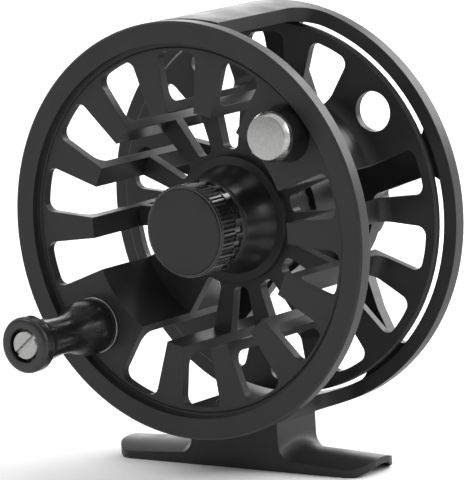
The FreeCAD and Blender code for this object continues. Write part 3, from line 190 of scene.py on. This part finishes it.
class Finish:
    """A material's nodes, added one by one."""

    def __init__(self, name, color, metallic, roughness):
        self.material = bpy.data.materials.new(name)
        self.material.use_nodes = True
        self.tree = self.material.node_tree
        self.shader = self.tree.nodes["Principled BSDF"]
        self.shader.inputs["Base Color"].default_value = (*color, 1.0)
        self.shader.inputs["Metallic"].default_value = metallic
        self.shader.inputs["Roughness"].default_value = roughness
        self.place = self.node("ShaderNodeTexCoord").outputs["Object"]

    def node(self, kind, **values):
        """A new node of a kind, with its settings."""
        made = self.tree.nodes.new(kind)
        for key, value in values.items():
            setattr(made, key, value)
        return made

    def link(self, source, target):
        self.tree.links.new(source, target)

    def noise(self, scale, detail, stretch=None):
        """A noise value over the object, stretched along an axis if asked."""
        texture = self.node("ShaderNodeTexNoise")
        texture.inputs["Scale"].default_value = scale
        texture.inputs["Detail"].default_value = detail
        source = self.place
        if stretch:
            mapping = self.node("ShaderNodeMapping")
            mapping.inputs["Scale"].default_value = stretch
            self.link(self.place, mapping.inputs["Vector"])
            source = mapping.outputs["Vector"]
        self.link(source, texture.inputs["Vector"])
        return texture.outputs["Fac"]

    def spread(self, source, low, high):
        """A 0 to 1 value brought to the range low to high."""
        change = self.node("ShaderNodeMapRange")
        change.inputs["From Min"].default_value = 0.3
        change.inputs["From Max"].default_value = 0.7
        change.inputs["To Min"].default_value = low
        change.inputs["To Max"].default_value = high
        self.link(source, change.inputs["Value"])
        return change.outputs["Result"]

    def roughness(self, source, low, high):
        """Roughness that varies with a value."""
        self.link(self.spread(source, low, high), self.shader.inputs["Roughness"])

    def tint(self, source, dark, light):
        """Base colour that varies with a value."""
        ramp = self.node("ShaderNodeMix", data_type="RGBA")
        ramp.inputs["A"].default_value = (*dark, 1.0)
        ramp.inputs["B"].default_value = (*light, 1.0)
        self.link(self.spread(source, 0.0, 1.0), ramp.inputs["Factor"])
        self.link(ramp.outputs["Result"], self.shader.inputs["Base Color"])

    def relief(self, sources, soften=0.0):
        """Bumps of (value, strength, depth in metres), over edges softened by a radius in metres."""
        normal = None
        if soften:
            edge = self.node("ShaderNodeBevel", samples=6)
            edge.inputs["Radius"].default_value = soften
            normal = edge.outputs["Normal"]
        for source, strength, depth in sources:
            bump = self.node("ShaderNodeBump")
            bump.inputs["Strength"].default_value = strength
            bump.inputs["Distance"].default_value = depth
            self.link(source, bump.inputs["Height"])
            if normal is not None:
                self.link(normal, bump.inputs["Normal"])
            normal = bump.outputs["Normal"]
        self.link(normal, self.shader.inputs["Normal"])

    def turned(self, centre, pitch):
        """Rings about an axis along Y through a point, as a lathe leaves them."""
        shift = self.node("ShaderNodeMapping")
        shift.inputs["Location"].default_value = -centre
        self.link(self.place, shift.inputs["Vector"])
        flat = self.node("ShaderNodeVectorMath", operation="MULTIPLY")
        flat.inputs[1].default_value = (1.0, 0.0, 1.0)
        self.link(shift.outputs["Vector"], flat.inputs[0])
        length = self.node("ShaderNodeVectorMath", operation="LENGTH")
        self.link(flat.outputs["Vector"], length.inputs[0])
        around = self.node("ShaderNodeMath", operation="MULTIPLY")
        around.inputs[1].default_value = 2 * math.pi / pitch
        self.link(length.outputs["Value"], around.inputs[0])
        wave = self.node("ShaderNodeMath", operation="SINE")
        self.link(around.outputs["Value"], wave.inputs[0])
        half = self.node("ShaderNodeMath", operation="MULTIPLY_ADD")
        half.inputs[1].default_value = 0.5
        half.inputs[2].default_value = 0.5
        self.link(wave.outputs["Value"], half.inputs[0])
        return half.outputs["Value"]


def anodised(name, color, roughness):
    """Bead-blasted and dyed aluminium: fine grain, faint clouds in its sheen."""
    made = Finish(name, color, 0.0, roughness)
    clouds = made.noise(160.0, 2.0)
    fine = made.noise(9000.0, 2.0)
    made.roughness(clouds, roughness - 0.05, roughness + 0.06)
    lighter = tuple(value * 1.25 for value in color)
    made.tint(clouds, color, lighter)
    made.relief([(fine, 0.10, 0.00004)], soften=0.00022)
    made.shader.inputs["Specular IOR Level"].default_value = 0.22
    return made.material


def polished_black(name, color, roughness, shine=0.5):
    """Black with a polish, only faintly uneven."""
    made = Finish(name, color, 0.0, roughness)
    made.roughness(made.noise(400.0, 2.0), roughness - 0.01, roughness + 0.02)
    made.relief([(made.noise(1500.0, 1.0), 0.01, 0.000004)])
    made.shader.inputs["Specular IOR Level"].default_value = shine
    return made.material


def turned_metal(name, color, roughness, centre):
    """Bare metal with the fine rings of a lathe about a centre (x, z) in mm."""
    made = Finish(name, color, 1.0, roughness)
    rings = made.turned(spot(centre[0], 0, centre[1]), TOOL_PITCH)
    made.roughness(made.noise(900.0, 3.0), roughness - 0.06, roughness + 0.08)
    made.relief([(rings, 0.12, 0.00002), (made.noise(5200.0, 2.0), 0.03, 0.00001)], soften=0.00008)
    return made.material


def ground_metal(name, color, roughness):
    """Metal ground along Y."""
    made = Finish(name, color, 1.0, roughness)
    drawn = made.noise(1400.0, 3.0, (1.0, 9.0, 1.0))
    made.roughness(drawn, roughness - 0.06, roughness + 0.08)
    made.relief([(drawn, 0.10, 0.00002)])
    return made.material


def soft_black(name, color, roughness, scale):
    """Matt nylon or rubber with a grain."""
    made = Finish(name, color, 0.0, roughness)
    grain = made.noise(scale, 4.0)
    made.roughness(grain, roughness - 0.06, roughness + 0.06)
    made.relief([(grain, 0.15, 0.00004)])
    return made.material


def carbon_weave(name):
    """Small dark and light squares, as woven carbon has."""
    made = Finish(name, (0.02, 0.02, 0.022), 0.0, 0.35)
    weave = made.node("ShaderNodeTexChecker")
    weave.inputs["Scale"].default_value = 1100.0
    made.link(made.place, weave.inputs["Vector"])
    made.tint(weave.outputs["Fac"], (0.012, 0.012, 0.013), (0.05, 0.05, 0.052))
    made.relief([(weave.outputs["Fac"], 0.2, 0.00003)])
    return made.material


FINISHES = {
    "black_anodised": anodised("black_anodised", (0.021, 0.021, 0.0215), 0.38),
    "black_gloss": polished_black("black_gloss", (0.008, 0.008, 0.008), 0.20),
    "boss_gloss": polished_black("boss_gloss", (0.012, 0.012, 0.012), 0.34, 0.3),
    "cap_gloss": polished_black("cap_gloss", (0.010, 0.010, 0.010), 0.24, 0.6),
    "base_ring": turned_metal("base_ring", (0.22, 0.22, 0.22), 0.32, HANDLE),
    "black_grip": polished_black("black_grip", (0.010, 0.010, 0.0095), 0.27),
    "bare_metal": turned_metal("bare_metal", (0.34, 0.34, 0.335), 0.26, WEIGHT),
    "steel": ground_metal("steel", (0.44, 0.44, 0.44), 0.28),
    "brass": ground_metal("brass", (0.36, 0.27, 0.15), 0.34),
    "nylon": soft_black("nylon", (0.016, 0.016, 0.016), 0.6, 1500.0),
    "rubber": soft_black("rubber", (0.018, 0.018, 0.018), 0.65, 2600.0),
    "carbon": carbon_weave("carbon"),
}
for row in frame["record"]["subparts"]:
    node = frame["nodes"][row["node"]]
    node.data.materials.clear()
    node.data.materials.append(FINISHES[row["material_slot"]])


# ---------------------------------------------------------------- turned pieces

def arc(start, through, end, steps):
    """Points (radius, place) of the curve from start to end through a middle point, without the first."""
    (r0, y0), (r1, y1), (r2, y2) = start, through, end
    ahead_r, ahead_y = 2 * r1 - (r0 + r2) / 2, 2 * y1 - (y0 + y2) / 2
    made = []
    for step in range(1, steps + 1):
        t = step / steps
        a, b, c = (1 - t) ** 2, 2 * t * (1 - t), t * t
        made.append((a * r0 + b * ahead_r + c * r2, a * y0 + b * ahead_y + c * y2))
    return made


def spline(knots, steps=6):
    """Points along a smooth curve through knots of (radius, place), without the first."""
    made = []
    ends = [knots[0]] + knots + [knots[-1]]
    for before, start, end, after in zip(ends, ends[1:], ends[2:], ends[3:]):
        for step in range(1, steps + 1):
            t = step / steps
            made.append(tuple(
                0.5 * (2 * b + (c - a) * t + (2 * a - 5 * b + 4 * c - d) * t * t
                       + (3 * b - a - 3 * c + d) * t ** 3)
                for a, b, c, d in zip(before, start, end, after)))
    return made


def grip_outline():
    """The grip from its bore at the base, over the swell, waist and flare, to its recessed end."""
    profile = [(3.2, 0.84)] + rounded([(3.2, 0.84), (5.4, 0.84, 0.25), (5.62, 0.2)])[1:]
    profile += spline([(5.62, 0.2), (5.74, -1.9), (5.3, -4.3), (4.2, -7.6), (3.85, -10.4), (4.02, -13.2),
                       (4.4, -16.2), (4.85, -18.2), (5.4, -19.2), (5.75, -19.9)])
    profile += [(5.75, -20.4), (5.75, -21.2), (5.75, -21.8)]
    profile += arc((5.75, -21.8), (5.5, -22.35), (4.95, -22.6), 8)
    return profile + rounded([(4.95, -22.6), (3.5, -22.6, 0.2), (3.5, -20.92, 0.1), (3.2, -20.92)])[1:]


def fluted(depth, inset=0.0):
    """Radius of the cap's fluted band at an angle."""
    return lambda angle: CAP_R - depth * max(0.0, math.cos(CAP_FLUTES * angle)) ** 1.5 - inset


def castellated(top):
    """Radius of the cap's castellations at an angle."""
    def reach(angle):
        across = (angle * CAP_BLOCKS / (2 * math.pi)) % 1.0
        edge = min(across, 1.0 - across)
        rise = min(max((edge - CAP_GAP_SHARE) / CAP_RAMP_SHARE, 0.0), 1.0)
        return CAP_NECK_R + (top - CAP_NECK_R) * rise
    return reach


def cap_skin(shape):
    """The cap: a step round its plate, a fluted band, a neck and a ring of castellations."""
    rows = [(1.04, 8.74), (0.16, 8.74), (0.10, 8.80), (0.10, 9.06), (0.16, 9.13), (0.44, 9.13), (0.50, 9.20),
            (0.52, fluted(0.25))]
    rows += [(place, fluted(CAP_FLUTE_DEPTH)) for place in (0.62, 1.6, 3.2, 4.4, 4.55)]
    rows += [(4.68, fluted(CAP_FLUTE_DEPTH, 0.10)), (4.70, 8.98), (4.74, CAP_NECK_R), (4.98, CAP_NECK_R),
             (5.00, castellated(9.28)), (5.10, castellated(CAP_R)), (7.08, castellated(CAP_R)),
             (7.20, castellated(9.33)), (7.20, 8.0), (7.20, CAP_BORE_R), (2.40, CAP_BORE_R)]
    rings = []
    for place, reach in rows:
        ring = []
        for step in range(CAP_STEPS):
            angle = 2 * math.pi * step / CAP_STEPS
            radius = reach(angle) if callable(reach) else reach
            ring.append(shape.verts.new(spot(radius * math.cos(angle), place, radius * math.sin(angle))))
        rings.append(ring)
    for ring, following in zip(rings, rings[1:]):
        bridge(shape, ring, following)
    bore_floor = shape.verts.new(spot(0, rows[-1][0], 0))
    bridge(shape, rings[-1], [bore_floor])
    plate_seat = shape.verts.new(spot(0, rows[0][0], 0))
    bridge(shape, rings[0], [plate_seat])


def turned_pieces():
    """Smooth shapes for the turned parts whose gloss shows every facet."""
    grip = lathe(grip_outline() + [(3.2, 0.84)], HANDLE, GRIP_STEPS)
    smooth(new_piece("grip_turning", grip, "handle", "black_grip", "handle_grip"), 50)

    ring = rounded([(1.9, 0.9), (5.85, 0.9, 0.22), (5.85, 1.6)]) + [(1.9, 1.6), (1.9, 0.9)]
    smooth(new_piece("base_ring_turning", lathe(ring, HANDLE), "spool", "base_ring",
                     "handle_base_ring"), 40)

    slug = rounded([(0.0, -5.2), (4.4, -5.2, 0.12), (5.0, -4.0, 0.25), (5.0, -3.4)])
    slug += [(3.0, -3.4), (3.0, 3.6), (0.0, 3.6)]
    smooth(new_piece("counterweight_turning", lathe(slug, WEIGHT), "spool", "bare_metal",
                     "counterweight"), 30)

    seat = [(3.0, -3.4)] + rounded([(3.0, -3.4), (5.1, -3.4, 0.2), (5.12, -3.1)])[1:]
    seat += arc((5.12, -3.1), (5.35, -0.9), (5.85, 1.6), 16) + [(3.0, 1.6), (3.0, -3.4)]
    smooth(new_piece("counterweight_boss_turning", lathe(seat, WEIGHT), "spool", "black_gloss",
                     "counterweight_boss"), 40)

    smooth(new_piece("cap_knurling", cap_skin, "cap", "cap_gloss", "spool_cap"), 38)

    cone = rounded([(7.04, 8.2), (9.0, 8.2, 0.1), (9.4, 8.6, 0.2), (9.42, 8.9)])
    cone += arc((9.42, 8.9), (9.75, 13.2), (11.2, 16.46), 24) + [(7.04, 16.46), (7.04, 8.2)]
    smooth(new_piece("hub_boss_turning", lathe(cone, steps=WIDE_STEPS), "spool", "boss_gloss",
                     "hub_boss"), 40)

    plate = rounded([(0.0, -0.2), (CAP_PLATE_R, -0.2, 0.28), (CAP_PLATE_R, 1.0, 0.05), (0.0, 1.0)], steps=5)
    smooth(new_piece("cap_face", lathe(plate, steps=WIDE_STEPS), "cap", "black_anodised",
                     "cap_plate"), 40)


turned_pieces()


# ---------------------------------------------------------------- stage, light, camera

def floor():
    """A pale paper floor at the foot."""
    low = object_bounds()[0].z
    mesh = bpy.data.meshes.new("floor")
    corners = [(x * FLOOR_REACH, y * FLOOR_REACH, low) for x, y in ((-1, -1), (1, -1), (1, 1), (-1, 1))]
    mesh.from_pydata(corners, [], [(0, 1, 2, 3)])
    plane = bpy.data.objects.new("floor", mesh)
    bpy.context.scene.collection.objects.link(plane)
    paint = Finish("floor_paper", (0.86, 0.86, 0.86), 0.0, 0.8)
    paint.tint(paint.noise(14.0, 2.0), (0.85, 0.85, 0.85), (0.88, 0.88, 0.88))
    paint.shader.inputs["Specular IOR Level"].default_value = 0.1
    mesh.materials.append(paint.material)
    plane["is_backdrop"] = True


def area_light(name, place, target, width, height, power):
    """A rectangular lamp that points at a target."""
    data = bpy.data.lights.new(name, "AREA")
    data.shape = "RECTANGLE"
    data.size, data.size_y = width, height
    data.energy = power
    lamp = bpy.data.objects.new(name, data)
    lamp.location = place
    lamp.rotation_mode = "QUATERNION"
    lamp.rotation_quaternion = (Vector(place) - Vector(target)).to_track_quat("Z", "Y")
    bpy.context.scene.collection.objects.link(lamp)


def studio():
    """A white backdrop behind the reel, a dimmer room in front of it, and soft lamps."""
    world = bpy.data.worlds.new("studio")
    world.use_nodes = True
    tree = world.node_tree
    toward = tree.nodes.new("ShaderNodeTexCoord")
    parts = tree.nodes.new("ShaderNodeSeparateXYZ")
    tree.links.new(toward.outputs["Generated"], parts.inputs["Vector"])
    fade = tree.nodes.new("ShaderNodeMapRange")
    fade.interpolation_type = "SMOOTHSTEP"
    fade.inputs["From Min"].default_value = FADE_START
    fade.inputs["From Max"].default_value = FADE_END
    fade.inputs["To Min"].default_value = ROOM_LEVEL
    fade.inputs["To Max"].default_value = BACKDROP_LEVEL
    tree.links.new(parts.outputs["Y"], fade.inputs["Value"])
    tree.links.new(fade.outputs["Result"], tree.nodes["Background"].inputs["Strength"])
    tree.nodes["Background"].inputs["Color"].default_value = (1.0, 1.0, 1.0, 1.0)
    bpy.context.scene.world = world
    bpy.context.scene.view_settings.view_transform = "Standard"
    middle = spot(0, 20, 0)
    for name, offset, width, height, power in LAMPS:
        area_light(name, middle + Vector(offset), middle, width, height, power)


def camera():
    """A long lens in front and a little to the right of the spool, slightly above it."""
    level, rise = math.cos(VIEW_HEIGHT), math.sin(VIEW_HEIGHT)
    back = Vector((math.sin(VIEW_AZIMUTH) * level, -math.cos(VIEW_AZIMUTH) * level, rise))
    right = (-back).cross(Vector((0, 0, 1))).normalized()
    up = right.cross(-back)
    across = right * math.cos(VIEW_ROLL) + up * math.sin(VIEW_ROLL)
    upward = up * math.cos(VIEW_ROLL) - right * math.sin(VIEW_ROLL)
    place = back * VIEW_FAR - across * AIM_ACROSS - upward * AIM_UP
    data = bpy.data.cameras.new("camera")
    data.sensor_width = SENSOR
    data.lens = LENS
    data.clip_start, data.clip_end = 0.05, 20.0
    lens = bpy.data.objects.new("camera", data)
    turn = Matrix((across, upward, back)).transposed()
    lens.matrix_world = Matrix.Translation(spot(*place)) @ turn.to_4x4()
    bpy.context.scene.collection.objects.link(lens)
    bpy.context.scene.camera = lens


floor()
studio()
camera()
